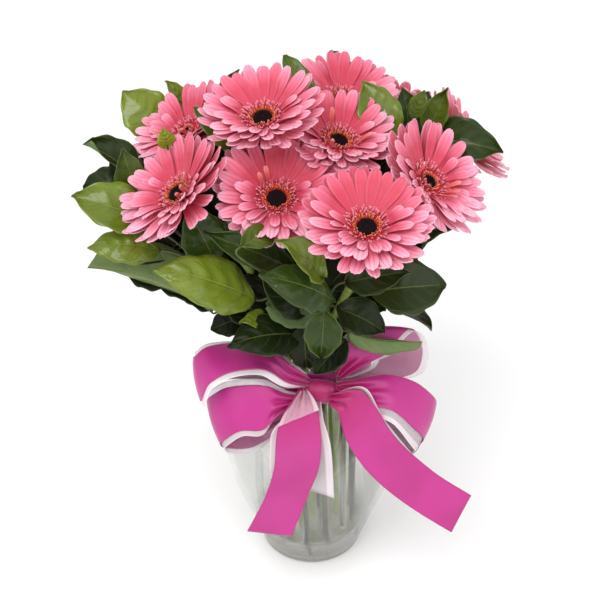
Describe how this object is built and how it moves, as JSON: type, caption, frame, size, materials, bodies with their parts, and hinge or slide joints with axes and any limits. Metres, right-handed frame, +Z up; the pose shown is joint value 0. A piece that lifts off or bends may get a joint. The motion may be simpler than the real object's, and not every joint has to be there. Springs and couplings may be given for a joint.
{
  "type": "gerberas in a vase",
  "caption": "Bunch of pink gerbera blooms with leafy sprays, standing in water in a clear glass vase with a two-ply ribbon bow tied round its neck.",
  "frame": {"origin": "middle of the vase's foot, on the surface that it stands on", "axes": "+Z up, -Y towards the front, where the bow is tied, +X to the right seen from the front"},
  "size_m": [0.3354, 0.3055, 0.4392],
  "materials": {
    "glass": "clear, smooth",
    "water": "clear, smooth",
    "petal": "soft, slightly velvety",
    "disc": "fibrous, matt",
    "stem": "fine hairs, satin",
    "leaf": "waxy, satin to gloss",
    "satin": "satin",
    "sheer": "sheer, finely woven"
  },
  "bodies": {
    "root": {"bloom_01_disc": "disc", "bloom_01_petals": "petal", "bloom_01_stem": "stem", "bloom_02_disc": "disc", "bloom_02_petals": "petal", "bloom_02_stem": "stem", "bloom_03_disc": "disc", "bloom_03_petals": "petal", "bloom_03_stem": "stem", "bloom_04_disc": "disc", "bloom_04_petals": "petal", "bloom_04_stem": "stem", "bloom_05_disc": "disc", "bloom_05_petals": "petal", "bloom_05_stem": "stem", "bloom_06_disc": "disc", "bloom_06_petals": "petal", "bloom_06_stem": "stem", "bloom_07_disc": "disc", "bloom_07_petals": "petal", "bloom_07_stem": "stem", "bloom_08_disc": "disc", "bloom_08_petals": "petal", "bloom_08_stem": "stem", "bloom_09_disc": "disc", "bloom_09_petals": "petal", "bloom_09_stem": "stem", "bloom_10_disc": "disc", "bloom_10_petals": "petal", "bloom_10_stem": "stem", "bloom_11_disc": "disc", "bloom_11_petals": "petal", "bloom_11_stem": "stem", "leafy_stem_01": "leaf", "leafy_stem_02": "leaf", "leafy_stem_03": "leaf", "leafy_stem_04": "leaf", "leafy_stem_05": "leaf", "leafy_stem_06": "leaf", "leafy_stem_07": "leaf", "leafy_stem_08": "leaf", "leafy_stem_09": "leaf", "leafy_stem_10": "leaf", "leafy_stem_11": "leaf", "ribbon_collar": "satin", "ribbon_knot": "satin", "ribbon_loop_lower_left": "satin", "ribbon_loop_lower_right": "satin", "ribbon_loop_upper_left": "satin", "ribbon_loop_upper_right": "satin", "ribbon_tail_left": "satin", "ribbon_tail_right": "satin", "sheer_loop_lower_left": "sheer", "sheer_loop_lower_right": "sheer", "sheer_loop_upper_left": "sheer", "sheer_loop_upper_right": "sheer", "sheer_tail_left": "sheer", "sheer_tail_right": "sheer", "vase": "glass", "water": "water"}
  },
  "joints": []
}
